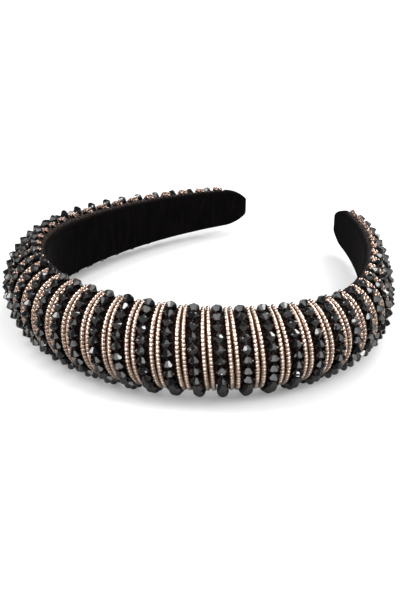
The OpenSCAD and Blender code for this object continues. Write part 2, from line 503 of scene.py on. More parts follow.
class Effects:
    """Node groups that several finishes share, each built once."""

    def __init__(self) -> None:
        """Builds the groups."""
        self.tone_drift = self._tone_drift()
        self.woven_relief = self._woven_relief()

    @staticmethod
    def _new_group(
        name: str, inputs: dict[str, str], outputs: dict[str, str]
    ) -> tuple[Shader, Mapping[str, NodeSocket]]:
        """Makes an empty node group.

        Args:
            name: The group's name.
            inputs: Names and types of its inputs.
            outputs: Names and types of its outputs.

        Returns:
            The shader that lays it out, and what the group is given.
        """
        tree = bpy.data.node_groups.new(name, "ShaderNodeTree")
        for direction, sockets in (("INPUT", inputs), ("OUTPUT", outputs)):
            for label, kind in sockets.items():
                tree.interface.new_socket(name=label, in_out=direction, socket_type=f"NodeSocket{kind}")
        shader = Shader(tree)
        return shader, shader.add("NodeGroupInput").outputs

    def _tone_drift(self) -> NodeTree:
        """Makes a colour that drifts between two tones over the surface.

        Returns:
            The group; a high Spread leaves the light tone in flecks.
        """
        shader, given = self._new_group(
            "tone_drift",
            {"Vector": "Vector", "Scale": "Float", "Spread": "Float", "Dark": "Color", "Light": "Color"},
            {"Colour": "Color", "Drift": "Float"},
        )
        cloud = shader.noise(Vector=given["Vector"], Scale=given["Scale"], Detail=4.0, Roughness=0.6)
        centred = shader.remap(Value=cloud, From_Min=0.3, From_Max=0.7)
        drift = shader.reckon("POWER", centred, given["Spread"])
        colour = shader.mix(drift, given["Dark"], given["Light"])
        shader.feed(shader.add("NodeGroupOutput"), Colour=colour, Drift=drift)
        return shader.tree

    def _woven_relief(self) -> NodeTree:
        """Makes the height of crossing threads, with loose fibres over them.

        Returns:
            The group.
        """
        shader, given = self._new_group(
            "woven_relief",
            {"Vector": "Vector", "Warp": "Float", "Weft": "Float", "Fibre": "Float"},
            {"Height": "Float"},
        )
        waves = [
            shader.feed(shader.add("ShaderNodeTexWave", bands_direction=axis), Vector=given["Vector"],
                        Scale=given[label], Distortion=0.6, Detail=1.0)["Fac"]
            for axis, label in (("X", "Warp"), ("Y", "Weft"))
        ]
        fuzz = shader.noise(Vector=given["Vector"], Scale=given["Fibre"], Detail=3.0)
        fuzz_share = 0.6
        height = shader.reckon("MULTIPLY_ADD", fuzz, fuzz_share, shader.reckon("MAXIMUM", *waves))
        shader.feed(shader.add("NodeGroupOutput"), Height=height)
        return shader.tree


@dataclass(frozen=True)
class Finish(ABC):
    """Material of some pieces: its slot, its name, and the two tones that it drifts between."""

    slot: str
    name: str
    dark: Colour
    light: Colour
    drift_scale: float
    drift_spread: float

    def material(self, effects: Effects) -> Material:
        """Builds the material.

        Args:
            effects: The shared node groups.

        Returns:
            The material.
        """
        made = bpy.data.materials.new(self.name)
        made.use_nodes = True
        self.dress(Shader(made.node_tree), effects)
        return made

    def tone(self, shader: Shader, effects: Effects, vector: NodeSocket) -> Mapping[str, NodeSocket]:
        """Colour and drift of the finish's tones over the surface."""
        return shader.group(effects.tone_drift, Vector=vector, Scale=self.drift_scale,
                            Spread=self.drift_spread, Dark=self.dark, Light=self.light)

    @abstractmethod
    def dress(self, shader: Shader, effects: Effects) -> None:
        """Lays out the material's nodes.

        Args:
            shader: Where they go.
            effects: The shared node groups.
        """


@dataclass(frozen=True)
class SatinCover(Finish):
    """Black satin stretched over the foam, with bronze flecks that are a painted reflection of the beads
    around it.
    """

    slot: str = "satin_cover"
    name: str = "black_satin"
    dark: Colour = (0.0012, 0.0008, 0.0007, 1)
    # Painted reflection: the bronze light tone, left in flecks by the high spread, stands for the beads'
    # gleam.
    light: Colour = (0.12, 0.056, 0.036, 1)
    drift_scale: float = 1400.0
    drift_spread: float = 3.8
    warp: float = 900.0
    weft: float = 620.0
    fibre: float = 5000.0
    relief: float = 0.06 * MM

    def dress(self, shader: Shader, effects: Effects) -> None:
        """Lays out the satin's nodes.

        Args:
            shader: Where they go.
            effects: The shared node groups.
        """
        tone = self.tone(shader, effects, shader.coordinates("Object"))
        weave = shader.group(effects.woven_relief, Vector=shader.coordinates("UV"), Warp=self.warp,
                             Weft=self.weft, Fibre=self.fibre)
        bump = shader.bump(Height=weave["Height"], Strength=0.35, Distance=self.relief)
        rough = shader.remap(Value=tone["Drift"], To_Min=0.34, To_Max=0.5)
        shader.surface(Base_Color=tone["Colour"], Roughness=rough, Normal=bump, Sheen_Weight=0.01,
                       Sheen_Roughness=0.4, Specular_IOR_Level=0.06)


@dataclass(frozen=True)
class BlackVelvet(Finish):
    """Short velvet pile, brushed across the band."""

    slot: str = "velvet"
    name: str = "black_velvet"
    dark: Colour = (0.0008, 0.0006, 0.0007, 1)
    light: Colour = (0.0028, 0.0022, 0.0022, 1)
    drift_scale: float = 420.0
    drift_spread: float = 1.6
    brush: Place = (1.0, 0.22, 1.0)
    pile_lie: Place = (1.0, 0.6, 1.0)
    pile_scale: float = 6500.0
    nap_depth: float = 0.2 * MM
    pile_depth: float = 0.08 * MM

    def dress(self, shader: Shader, effects: Effects) -> None:
        """Lays out the velvet's nodes.

        Args:
            shader: Where they go.
            effects: The shared node groups.
        """
        tone = self.tone(shader, effects, shader.coordinates("UV", self.brush))
        lie = shader.coordinates("UV", self.pile_lie)
        pile = shader.noise(Vector=lie, Scale=self.pile_scale, Detail=2.0)
        nap = shader.bump(Height=tone["Drift"], Strength=0.25, Distance=self.nap_depth)
        bump = shader.bump(Height=pile, Normal=nap, Strength=0.6, Distance=self.pile_depth)
        shader.surface(Base_Color=tone["Colour"], Normal=bump, Roughness=0.95, Specular_IOR_Level=0.04,
                       Sheen_Weight=0.07, Sheen_Roughness=0.3, Sheen_Tint=(0.2, 0.18, 0.185, 1))


@dataclass(frozen=True)
class BlackThread(Finish):
    """Twisted black polyester thread."""

    slot: str = "thread"
    name: str = "black_thread"
    dark: Colour = (0.002, 0.002, 0.002, 1)
    light: Colour = (0.012, 0.011, 0.012, 1)
    drift_scale: float = 900.0
    drift_spread: float = 1.0
    warp: float = 700.0
    weft: float = 900.0
    fibre: float = 6000.0
    relief: float = 0.05 * MM

    def dress(self, shader: Shader, effects: Effects) -> None:
        """Lays out the thread's nodes.

        Args:
            shader: Where they go.
            effects: The shared node groups.
        """
        spot = shader.coordinates("Object")
        tone = self.tone(shader, effects, spot)
        twist = shader.group(effects.woven_relief, Vector=spot, Warp=self.warp, Weft=self.weft,
                             Fibre=self.fibre)
        bump = shader.bump(Height=twist["Height"], Strength=0.5, Distance=self.relief)
        shader.surface(Base_Color=tone["Colour"], Normal=bump, Roughness=0.5, Sheen_Weight=0.2)


@dataclass(frozen=True)
class JetCrystal(Finish):
    """Polished opaque jet-black glass; the stones differ a little in tone and polish."""

    slot: str = "jet_crystal"
    name: str = "jet_crystal_glass"
    dark: Colour = (0.0006, 0.0006, 0.0008, 1)
    light: Colour = (0.0065, 0.007, 0.008, 1)
    drift_scale: float = 700.0
    drift_spread: float = 1.0
    stone_share: float = 0.7
    wobble_scale: float = 500.0
    wobble_depth: float = 0.25 * MM

    def dress(self, shader: Shader, effects: Effects) -> None:
        """Lays out the glass's nodes.

        Args:
            shader: Where they go.
            effects: The shared node groups.
        """
        spot = shader.coordinates("Object")
        stone = shader.add("ShaderNodeAttribute", attribute_name=TINT).outputs
        tone = self.tone(shader, effects, spot)
        shade = shader.mix(self.stone_share, tone["Colour"], stone["Color"], "MULTIPLY")
        polish = shader.remap(Value=stone["Fac"], To_Min=0.02, To_Max=0.1)
        wobble = shader.noise(Vector=spot, Scale=self.wobble_scale, Detail=1.0)
        bump = shader.bump(Height=wobble, Strength=0.06, Distance=self.wobble_depth)
        shader.surface(Base_Color=shade, Roughness=polish, Normal=bump, IOR=1.6)


@dataclass(frozen=True)
class RoseGoldBeads(Finish):
    """Clear seed beads with a rose-gold metal lining, with a painted highlight along the outward crest and
    painted shade on the sides.
    """

    slot: str = "rose_gold_beads"
    name: str = "rose_gold_lined_glass"
    # The pale crest tones are a painted highlight.
    dark: Colour = (0.7, 0.55, 0.43, 1)
    light: Colour = (0.98, 0.88, 0.76, 1)
    drift_scale: float = 1100.0
    drift_spread: float = 1.0
    # Brown tones of the bead sides: painted shade.
    painted_shade_dark: Colour = (0.1, 0.05, 0.034, 1)
    painted_shade_light: Colour = (0.42, 0.25, 0.178, 1)
    painted_shade_scale: float = 1600.0
    painted_shade_spread: float = 1.1
    bead_share: float = 0.35
    # Where the bead faces outwards past these, the painted highlight covers the painted shade.
    painted_highlight_from: float = 0.84
    painted_highlight_full: float = 0.98
    wrinkle_scale: float = 1800.0
    wrinkle_depth: float = 0.1 * MM

    def dress(self, shader: Shader, effects: Effects) -> None:
        """Lays out the beads' nodes.

        Args:
            shader: Where they go.
            effects: The shared node groups.
        """
        spot = shader.coordinates("Object")
        bead = shader.add("ShaderNodeAttribute", attribute_name=TINT).outputs
        tone = self.tone(shader, effects, spot)
        shade = shader.mix(self.bead_share, tone["Colour"], bead["Color"], "MULTIPLY")
        # Painted highlight along the outward crest, mixed over painted shade at the sides.
        crest = shader.add("ShaderNodeAttribute", attribute_name=CREST).outputs["Fac"]
        painted_highlight_mask = shader.remap("SMOOTHSTEP", Value=shader.reckon("ABSOLUTE", crest),
                              From_Min=self.painted_highlight_from, From_Max=self.painted_highlight_full)
        side = shader.group(effects.tone_drift, Vector=spot, Scale=self.painted_shade_scale, Spread=self.painted_shade_spread,
                            Dark=self.painted_shade_dark, Light=self.painted_shade_light)
        colour = shader.mix(painted_highlight_mask, side["Colour"], shade)
        foil = shader.remap(Value=tone["Drift"], To_Min=0.16, To_Max=0.08)
        wrinkle = shader.noise(Vector=spot, Scale=self.wrinkle_scale, Detail=2.0)
        bump = shader.bump(Height=wrinkle, Strength=0.2, Distance=self.wrinkle_depth)
        shader.surface(Base_Color=colour, Roughness=foil, Normal=bump, Metallic=1.0, Coat_Weight=1.0,
                       Coat_Roughness=0.04, Coat_IOR=1.5)


class Wardrobe:
    """Keeps each finish's material, made once."""

    def __init__(self) -> None:
        """Builds the shared effects."""
        self.effects = Effects()
        self.made: dict[Finish, Material] = {}

    def material(self, finish: Finish) -> Material:
        """Finds a finish's material, or builds it.

        Args:
            finish: The finish.

        Returns:
            Its material.
        """
        if finish not in self.made:
            self.made[finish] = finish.material(self.effects)
        return self.made[finish]


def as_mesh(bm: BMesh, name: str) -> Mesh:
    """Turns a bmesh into a mesh and frees it.

    Args:
        bm: The bmesh.
        name: The mesh's name.

    Returns:
        The mesh.
    """
    mesh = bpy.data.meshes.new(name)
    bm.to_mesh(mesh)
    bm.free()
    return mesh


def finish_piece(
    bm: BMesh, name: str, finish: Finish, wardrobe: Wardrobe, replaces: Iterable[str] = ()
) -> Object:
    """Turns a bmesh into a dressed piece of the headband and frees it.

    Args:
        bm: The piece's mesh, in its place.
        name: The piece's name.
        finish: What it is made of.
        wardrobe: Where its material is kept.
        replaces: The CAD nodes that it stands for.

    Returns:
        The piece's object.
    """
    mesh = as_mesh(bm, name)
    mesh.materials.append(wardrobe.material(finish))
    piece = bpy.data.objects.new(name, mesh)
    bpy.context.scene.collection.objects.link(piece)
    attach(piece, BODY)
    if replaces:
        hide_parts(*replaces)
    return piece


def pour(bm: BMesh, part: BMesh) -> None:
    """Adds a small mesh to a large one and frees the small one.

    Args:
        bm: The large mesh.
        part: The small mesh.
    """
    carrier = as_mesh(part, "carrier")
    bm.from_mesh(carrier)
    bpy.data.meshes.remove(carrier)


def smooth_skin(bm: BMesh) -> None:
    """Turns every face outwards and shades it smooth.

    Args:
        bm: The mesh, without doubles.
    """
    bmesh.ops.recalc_face_normals(bm, faces=bm.faces[:])
    for face in bm.faces:
        face.smooth = True


def extrude_through(bm: BMesh, sections: Sequence[Sequence[Vector]]) -> list[list[BMVert]]:
    """Extrudes one closed ring of points through every section and caps both ends.

    Args:
        bm: Mesh that takes the skin.
        sections: Points of each ring, in step with each other.

    Returns:
        The rings of vertices, in the order of the sections.
    """
    ring = bmesh.ops.create_circle(bm, segments=len(sections[0]), radius=1.0)["verts"]
    rings = []
    for section in sections:
        if rings:
            edges = [bm.edges.get((ring[i - 1], ring[i])) for i in range(len(ring))]
            made = bmesh.ops.extrude_edge_only(bm, edges=edges)["geom"]
            fresh = {g for g in made if isinstance(g, BMVert)}
            ring = [next(e.other_vert(v) for e in v.link_edges if e.other_vert(v) in fresh) for v in ring]
        for vert, point in zip(ring, section):
            vert.co = point
        rings.append(ring)
    for end in (rings[0], rings[-1]):
        bmesh.ops.contextual_create(bm, geom=[bm.edges.get((end[i - 1], end[i])) for i in range(len(end))])
    smooth_skin(bm)
    return rings


def map_cloth(bm: BMesh, rings: Sequence[Sequence[BMVert]], runs: Sequence[float]) -> None:
    """Gives an extruded skin a UV map in metres: u along the hoop, v round the section.

    Args:
        bm: The skin.
        rings: Its rings of vertices.
        runs: Each ring's distance along the hoop.
    """
    layer = bm.loops.layers.uv.new("cloth")
    address = {}
    for run, ring in zip(runs, rings):
        around = running_lengths([v.co for v in ring] + [ring[0].co])
        for k, vert in enumerate(ring):
            address[vert] = (run, around[k], around[-1], k)
    last = len(rings[0]) - 1
    for face in bm.faces:
        places = [address[loop.vert] for loop in face.loops]
        wraps = len(places) == 4 and {0, last} <= {p[3] for p in places}
        for loop, (run, v, whole, k) in zip(face.loops, places):
            loop[layer].uv = (run, whole if wraps and k == 0 else v)


@dataclass
class PaddedCover:
    """Foam-padded cover, drawn in a little under each string and gathered at its edges."""

    form: HoopForm
    plan: RowPlan
    finish: SatinCover = field(default_factory=SatinCover)
    spacing: float = 0.78 * MM
    dome_steps: int = 26
    base_steps: int = 6
    proud: float = 0.12 * MM
    draw: float = 0.07 * MM
    gathers: Ripple = Ripple(0.09 * MM, 1.1 * MM, 0.25, 3.0)
    gather_reach: float = math.radians(24)
    slack: Ripple = Ripple(0.04 * MM, 4 * MM, 1 / 3, 7.0)

    def lift(self, s: float, phi: float) -> float:
        """Works out the height of the cloth over the plain dome.

        Args:
            s: Distance along the base curve.
            phi: Angle over the dome, in radians.

        Returns:
            The height.
        """
        phase = 4 * math.pi * self.plan.crest_at(s) / self.plan.row_pitch
        drawn = -self.draw * math.cos(phase) * math.sin(phi)
        edge = max(0.0, 1 - min(phi, math.pi - phi) / self.gather_reach)
        return self.proud + drawn + edge * self.gathers.at(s, math.cos(phi)) + self.slack.at(s, phi)

    def section(self, s: float) -> list[Vector]:
        """Draws a ring round the padding.

        Args:
            s: Distance along the base curve.

        Returns:
            The ring's points: over the dome, then back along its base.
        """
        points = []
        for k in range(self.dome_steps + 1):
            phi = math.pi * k / self.dome_steps
            n, v = self.form.dome(s, phi, self.lift(s, phi))
            points.append(self.form.place(s, max(n, 0.0), v))
        first, last = points[0], points[-1]
        return points + [last.lerp(first, k / self.base_steps) for k in range(1, self.base_steps)]

    def build(self, wardrobe: Wardrobe) -> Object:
        """Builds and dresses the cover.

        Args:
            wardrobe: Where its material is kept.

        Returns:
            The piece.
        """
        count = round(2 * self.form.pad_end / self.spacing)
        runs = [self.form.pad_end * (2 * i / count - 1) for i in range(count + 1)]
        bm = bmesh.new()
        rings = extrude_through(bm, [self.section(s) for s in runs])
        map_cloth(bm, rings, runs)
        piece = finish_piece(bm, "padded_cover", self.finish, wardrobe, ["padded_hoop"])
        return piece


@dataclass
class VelvetLining:
    """Velvet over the band that stiffens the hoop; it also wraps the two bare tips."""

    form: HoopForm
    finish: BlackVelvet = field(default_factory=BlackVelvet)
    thickness: float = 2.0 * MM
    tip_h: float = 1.4 * MM
    inset: float = 1.0 * MM
    tongue_len: float = 10.5 * MM
    tongue_power: float = 1.8
    tongue_cut: float = 0.88
    tongue_steps: int = 16
    tongue_stop: float = 0.9995
    wrap_gap: float = 0.2 * MM
    wrap_len: float = 0.9 * MM
    roll_h: float = 0.22 * MM
    roll_at: float = 1.6 * MM
    edge_round: float = 0.75 * MM
    corner_room: float = 2.1
    end_round: float = 1.2 * MM
    end_least: float = 0.15
    spacing: float = 0.8 * MM
    inner_steps: int = 14
    outer_steps: int = 8
    corner_steps: int = 4
    crease: float = 0.16 * MM
    crease_least: float = 0.25
    crease_at: float = 0.6
    crease_len: float = 24 * MM
    crease_tip: float = 0.8
    crease_edge: int = 8
    creases: tuple[Ripple, ...] = (Ripple(0.6, 2.6 * MM, 14 * MM, 11.0), Ripple(0.8, 9 * MM, 20 * MM, 17.0))

    def tongue(self, s: float) -> float:
        """Share of the width that is left where a tip rounds off."""
        t = self.tongue_cut * max(0.0, (abs(s) - self.form.half_len + self.tongue_len) / self.tongue_len)
        return (1 - t**self.tongue_power) ** (1 / self.tongue_power)

    def half_width(self, s: float) -> float:
        """Half the velvet's width, a little inside the band's edges up to the tips."""
        inset = self.inset * self.form.pad_h(s) / self.form.crown_h
        return (self.form.width(s) / 2 - inset) * self.tongue(s)

    def top(self, s: float) -> float:
        """Works out the height of the outer face, which rises and rolls where the velvet wraps a tip.

        Args:
            s: Distance along the base curve.

        Returns:
            The height over the base curve.
        """
        past = abs(s) - self.form.pad_end - self.wrap_gap
        if past <= 0:
            return -self.form.seat
        roll = self.roll_h * math.exp(-(((past - self.roll_at) / self.wrap_len) ** 2))
        rise = math.sin(min(1.0, past / self.wrap_len) * math.pi / 2)
        return -self.form.seat + (self.tip_h + self.form.seat) * rise + roll

    def wrinkle(self, s: float, v: float) -> float:
        """Works out the soft creases across the band, deepest inside the shoulders.

        Args:
            s: Distance along the base curve.
            v: Place across the band.

        Returns:
            How far the cloth stands off.
        """
        middle = self.form.crown_len + self.form.shoulder_len * self.crease_at
        bent = math.exp(-(((abs(s) - middle) / self.crease_len) ** 2))
        tip = max(0.0, (abs(s) - self.form.pad_end) / self.form.bare_tip)
        strength = self.crease_least + (1 - self.crease_least) * bent + self.crease_tip * tip
        return self.crease * strength * sum(ripple.at(s, v) for ripple in self.creases)

    def outline(self, low: float, top: float, half: float) -> list[tuple[float, float]]:
        """Draws a flat section with round corners.

        Args:
            low: Its inner face.
            top: Its outer face.
            half: Half its width.

        Returns:
            The n and v of its points: the inner face, a corner pair, the outer face, a corner pair.
        """
        r = min(self.edge_round, (top - low) / self.corner_room, half / self.corner_room)
        side = half - r
        ring = [(low, side * (1 - 2 * k / self.inner_steps)) for k in range(self.inner_steps)]
        corners = ((low + r, -side), (top - r, -side), (top - r, side), (low + r, side))
        for i, (n, v) in enumerate(corners):
            for k in range(self.corner_steps + 1):
                a = math.pi + math.pi / 2 * (i + k / self.corner_steps)
                ring.append((n + r * math.cos(a), v + r * math.sin(a)))
            if i == 1:
                ring += [(top, side * (2 * k / self.outer_steps - 1)) for k in range(1, self.outer_steps)]
        return ring[:-1]

    def section(self, s: float) -> list[Vector]:
        """Draws a ring round the band, creased and rounded off at the tips.

        Args:
            s: Distance along the base curve.

        Returns:
            The ring's points.
        """
        end = min(1.0, max(0.0, (self.form.half_len - abs(s)) / self.end_round))
        close = math.sqrt(1 - (1 - end) ** 2)
        low, top = -self.form.seat - self.thickness, self.top(s)
        middle = (low + top) / 2
        low, top = (middle + (face - middle) * max(close, self.end_least) for face in (low, top))
        half = self.half_width(s)
        points = []
        for n, v in self.outline(low, top, half):
            creased = n < middle or abs(s) > self.form.pad_end
            room = max(0.0, 1 - (v / half) ** self.crease_edge) if creased else 0.0
            stand = close * room * self.wrinkle(s, v)
            points.append(self.form.place(s, n - stand if n < middle else n + stand, v))
        return points

    def build(self, wardrobe: Wardrobe, rests_on: Object) -> Object:
        """Builds and dresses the lining.

        Args:
            wardrobe: Where its material is kept.
            rests_on: The cover that it is sewn to; not used.

        Returns:
            The piece.
        """
        straight = self.form.half_len - self.tongue_len
        count = round(2 * straight / self.spacing)
        runs = [straight * (2 * i / count - 1) for i in range(count + 1)]
        turns = [math.pi / 2 * i / self.tongue_steps for i in range(1, self.tongue_steps + 1)]
        tip = [straight + self.tongue_len * self.tongue_stop * math.sin(a) for a in turns]
        runs = [-s for s in reversed(tip)] + runs + tip
        bm = bmesh.new()
        rings = extrude_through(bm, [self.section(s) for s in runs])
        map_cloth(bm, rings, runs)
        piece = finish_piece(bm, "velvet_lining_cloth", self.finish, wardrobe, ["velvet_lining"])
        area = sum(2 * self.half_width(s) for s in runs) / len(runs) * 2 * self.form.half_len
        return piece


class Part(Enum):
    """Stretch of the hoop that one piece of beadwork covers."""

    LEFT = "left"
    MIDDLE = "middle"
    RIGHT = "right"


@dataclass(frozen=True)
class CutStone:
    """Faceted double cone, drilled for its thread, with its girdle's corners cut."""

    across: float = 4.6 * MM
    length: float = 3.4 * MM
    table: float = 1.5 * MM
    bore: float = 1.0 * MM
    sides: int = 8
    corner_cut: float = 0.5 * MM

    def mesh(self) -> Mesh:
        """Cuts one stone at the origin, its thread along Z.

        Returns:
            Its mesh.
        """
        bm = bmesh.new()
        bmesh.ops.create_cone(bm, cap_ends=True, segments=self.sides, radius1=self.across / 2,
                              radius2=self.table / 2, depth=self.length / 2)
        bmesh.ops.translate(bm, verts=bm.verts[:], vec=(0, 0, self.length / 4))
        girdle_face = min(bm.faces, key=lambda f: f.calc_center_median().z)
        bmesh.ops.delete(bm, geom=[girdle_face], context="FACES_ONLY")
        bmesh.ops.mirror(bm, geom=bm.verts[:] + bm.edges[:] + bm.faces[:], axis="Z", merge_dist=NEAR)
        corners = [v for v in bm.verts if abs(v.co.z) < NEAR]
        bmesh.ops.bevel(bm, geom=corners, offset=self.corner_cut, offset_type="OFFSET", segments=1,
                        profile=0.5, affect="VERTICES", material=-1)
        tables = sorted(bm.faces, key=lambda f: abs(f.calc_center_median().z))[-2:]
        wall = (self.table - self.bore) / 2
        bmesh.ops.inset_region(bm, faces=tables, thickness=wall, use_even_offset=True)
        rims = [e for f in tables for e in f.edges]
        bmesh.ops.delete(bm, geom=tables, context="FACES_ONLY")
        bmesh.ops.bridge_loops(bm, edges=rims)
        bmesh.ops.recalc_face_normals(bm, faces=bm.faces[:])
        return as_mesh(bm, "cut_stone")


@dataclass(frozen=True)
class SeedBead:
    """Small round glass bead with a straight hole and rounded ends."""

    across: float = 2.1 * MM
    length: float = 1.45 * MM
    hole: float = 0.8 * MM
    edge_round: float = 0.14 * MM
    steps: int = 10

    def mesh(self) -> Mesh:
        """Spins one bead at the origin, its thread along Z.

        Returns:
            Its mesh.
        """
        bm = bmesh.new()
        bmesh.ops.create_circle(bm, segments=4, radius=math.sqrt(0.5))
        turned = Matrix.Rotation(math.pi / 2, 3, "X") @ Matrix.Rotation(math.pi / 4, 3, "Z")
        bmesh.ops.rotate(bm, verts=bm.verts[:], cent=(0, 0, 0), matrix=turned)
        bmesh.ops.scale(bm, verts=bm.verts[:], vec=((self.across - self.hole) / 2, 1, self.length))
        bmesh.ops.translate(bm, verts=bm.verts[:], vec=((self.across + self.hole) / 4, 0, 0))
        outer = [v for v in bm.verts if v.co.x > self.across / 3]
        bmesh.ops.bevel(bm, geom=outer, offset=self.edge_round, offset_type="OFFSET", segments=1,
                        profile=0.5, affect="VERTICES", material=-1)
        bmesh.ops.spin(bm, geom=bm.verts[:] + bm.edges[:], cent=(0, 0, 0), axis=(0, 0, 1),
                       angle=2 * math.pi, steps=self.steps, use_merge=True)
        smooth_skin(bm)
        return as_mesh(bm, "seed_bead")


@dataclass(frozen=True)
class Spot:
    """Where one bead lies: the string's frame there, the bead's own turn and size, and its tint."""

    frame: Matrix
    turn: Matrix
    tint: float


def loose_turn(chance: random.Random, roll: float, lean: float) -> Matrix:
    """Turns a bead about its thread and tips it a little.

    Args:
        chance: Where the turns come from.
        roll: Largest turn about the thread.
        lean: Largest tip to each side.

    Returns:
        The bead's turn.
    """
    rolled = Matrix.Rotation(chance.uniform(0, roll), 4, "Z")
    tipped = Matrix.Rotation(chance.uniform(-lean, lean), 4, "X")
    tipped @= Matrix.Rotation(chance.uniform(-lean, lean), 4, "Y")
    return tipped @ rolled


def beadwork() -> BMesh:
    """Makes an empty mesh for beads.

    Returns:
        The mesh, which carries each bead's tint and how far its skin faces outwards.
    """
    bm = bmesh.new()
    for name in (TINT, CREST):
        bm.verts.layers.float.new(name)
    return bm


def string_beads(bead: Mesh, spots: Iterable[Spot]) -> BMesh:
    """Copies one bead to every place on a string.

    Args:
        bead: The bead's mesh.
        spots: Where the copies lie.

    Returns:
        A mesh of all the copies, with their tints and crests.
    """
    bm = beadwork()
    tint, crest = bm.verts.layers.float[TINT], bm.verts.layers.float[CREST]
    for spot in spots:
        start = len(bm.verts)
        bm.from_mesh(bead)
        bm.verts.ensure_lookup_table()
        copy = bm.verts[start:]
        bmesh.ops.transform(bm, matrix=spot.turn, verts=copy)
        for vert in copy:
            vert[tint] = spot.tint
            vert[crest] = vert.co.x / max(math.hypot(vert.co.x, vert.co.y), NEAR)
        bmesh.ops.transform(bm, matrix=spot.frame, verts=copy)
    return bm


@dataclass
class CrystalRows:
    """Rows of cut jet crystals across the band."""

    plan: RowPlan
    stone: CutStone = field(default_factory=CutStone)
    finish: JetCrystal = field(default_factory=JetCrystal)
    seed: int = 41
    lean: float = math.radians(6)
    least_size: float = 0.975

    def spots(self, path: StringPath, chance: random.Random) -> list[Spot]:
        """Finds the places of one row's crystals.

        Args:
            path: The row's path.
            chance: Where the small differences between stones come from.

        Returns:
            A spot for each stone.
        """
        count = self.plan.stone_count(path)
        spots = []
        for i in range(count):
            run = path.first + path.length * i / (count - 1)
            turn = loose_turn(chance, 2 * math.pi / self.stone.sides, self.lean)
            size = Matrix.Scale(chance.uniform(self.least_size, 1.0), 4)
            spots.append(Spot(path.frame(run), turn @ size, chance.random()))
        return spots

    def build(self, wardrobe: Wardrobe) -> list[Object]:
        """Builds and dresses the rows on both sides of the middle.

        Args:
            wardrobe: Where their material is kept.

        Returns:
            The two pieces.
        """
        chance = random.Random(self.seed)
        stone = self.stone.mesh()
        count = self.plan.row_count
        pieces = []
        for part, rows in ((Part.LEFT, range(-count, 0)), (Part.RIGHT, range(count))):
            bm = beadwork()
            for row in rows:
                pour(bm, string_beads(stone, self.spots(self.plan.row(row), chance)))
            side = part.value
            pieces.append(finish_piece(bm, f"crystals_{side}", self.finish, wardrobe,
                                       [f"crystal_rows_{side}", f"crystal_strings_{side}"]))
        bpy.data.meshes.remove(stone)
        return pieces


@dataclass
class GoldBands:
    """Double strings of rose-gold seed beads between the crystal rows."""

    plan: RowPlan
    bead: SeedBead = field(default_factory=SeedBead)
    finish: RoseGoldBeads = field(default_factory=RoseGoldBeads)
    pitch: float = 1.47 * MM
    stagger: float = 0.25
    middle_bands: int = 6
    seed: int = 97
    lean: float = math.radians(4)
    wander: float = 0.03 * MM
    least_size: float = 0.95

    def bands(self, part: Part) -> range:
        """Lists the bands in one stretch of the hoop.

        Args:
            part: The stretch.

        Returns:
            The bands' numbers.
        """
        last = self.plan.row_count
        return {
            Part.LEFT: range(-last, -self.middle_bands),
            Part.MIDDLE: range(-self.middle_bands, self.middle_bands + 1),
            Part.RIGHT: range(self.middle_bands + 1, last + 1),
        }[part]

    def spots(self, band: int, side: int, chance: random.Random) -> list[Spot]:
        """Finds the places of the beads on one of a band's two strings.

        Args:
            band: The band's number.
            side: -1 or 1, for the string on either side of the band's middle.
            chance: Where the small differences between beads come from.

        Returns:
            A spot for each bead.
        """
        path = self.plan.band(band)
        count = round(path.length / self.pitch)
        spots = []
        for i in range(count):
            run = path.first + path.length * (i + 0.5 + self.stagger * side) / count
            half = self.plan.band_half(band, path.section(run).x)
            shift = Matrix.Translation((chance.uniform(-self.wander, self.wander), side * half / 2, 0))
            turn = loose_turn(chance, 2 * math.pi, self.lean)
            across = half / self.plan.seed_d * chance.uniform(self.least_size, 1.0)
            scale = Matrix.Diagonal((across, across, chance.uniform(self.least_size, 1.0), 1))
            spots.append(Spot(path.frame(run) @ shift, turn @ scale, chance.random()))
        return spots

    def build(self, wardrobe: Wardrobe) -> list[Object]:
        """Builds and dresses the bands of each stretch.

        Args:
            wardrobe: Where their material is kept.

        Returns:
            The three pieces.
        """
        chance = random.Random(self.seed)
        bead = self.bead.mesh()
        pieces = []
        for part in Part:
            bm = beadwork()
            for band in self.bands(part):
                for side in (-1, 1):
                    pour(bm, string_beads(bead, self.spots(band, side, chance)))
            pieces.append(finish_piece(bm, f"seed_beads_{part.value}", self.finish, wardrobe,
                                       [f"gold_bands_{part.value}"]))
        bpy.data.meshes.remove(bead)
        return pieces


